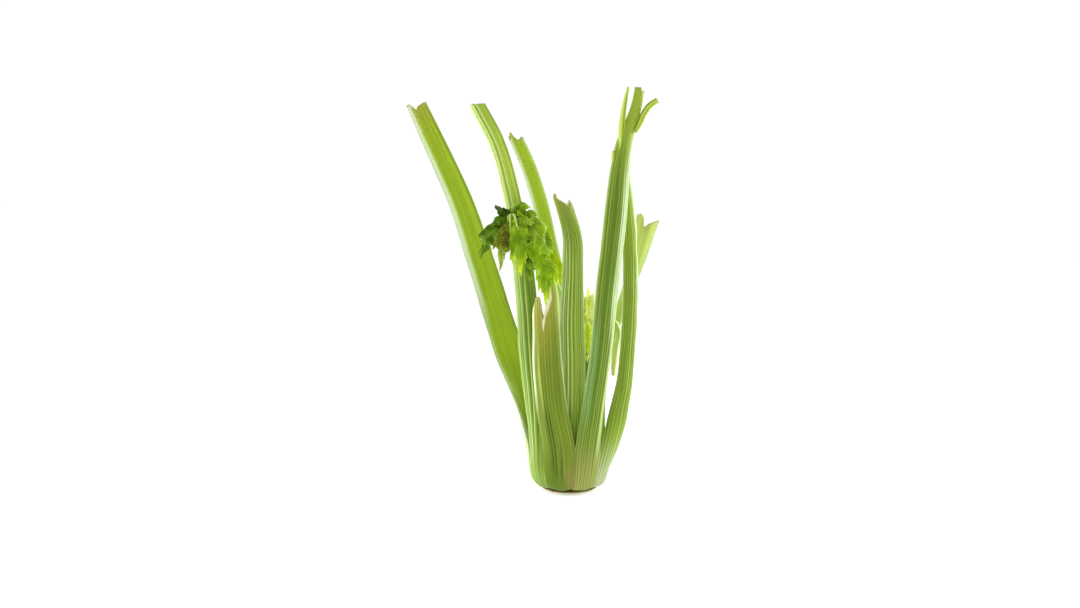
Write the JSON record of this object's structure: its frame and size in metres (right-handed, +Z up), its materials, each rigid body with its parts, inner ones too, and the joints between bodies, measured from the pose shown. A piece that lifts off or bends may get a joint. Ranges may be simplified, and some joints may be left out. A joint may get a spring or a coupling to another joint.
{
  "type": "head of celery",
  "caption": "Cut head of fresh celery standing on its butt, with ribbed C-section stalks that fan out of the crown and a small spray of heart leaves.",
  "frame": {"origin": "centre of the cut face of the butt, on the surface that the head stands on", "axes": "+Z up along the height of the head; -Y is the front, where the broken short stalk and the leaf spray are; +X is to the right as seen from the front"},
  "size_m": [0.2474, 0.151, 0.3735],
  "materials": {
    "crown_butt": "matte",
    "outer_stalk": "satin",
    "inner_stalk": "satin",
    "heart_stem": "satin",
    "green_leaf": "satin",
    "yellow_leaf": "satin"
  },
  "bodies": {
    "root": {"crown": "crown_butt", "stalk_far_left": "outer_stalk", "stalk_front_left": "outer_stalk", "stalk_front_broken": "outer_stalk", "stalk_front_right": "outer_stalk", "stalk_right": "outer_stalk", "stalk_back_right": "outer_stalk", "stalk_back_centre": "outer_stalk", "stalk_back_short": "outer_stalk", "stalk_middle_front": "inner_stalk", "stalk_middle_back": "inner_stalk", "stalk_middle_left": "inner_stalk", "stalk_middle_right": "inner_stalk", "heart_stalk_leafy": "heart_stem", "heart_stalk_right": "heart_stem", "heart_stalk_drooping": "heart_stem", "heart_stalk_small": "heart_stem", "leaflet_top_pointed": "green_leaf", "leaflet_top_domed": "green_leaf", "leaflet_left_dark": "green_leaf", "leaflet_left_frilled": "green_leaf", "leaflet_right_serrated": "green_leaf", "leaflet_back_dark": "green_leaf", "leaflet_centre": "yellow_leaf", "leaflet_lower_right": "yellow_leaf", "leaflet_stalk_right": "yellow_leaf", "leaflet_hanging_strip": "yellow_leaf", "heart_leaflet_right": "yellow_leaf", "heart_leaflet_left": "yellow_leaf"}
  },
  "joints": []
}
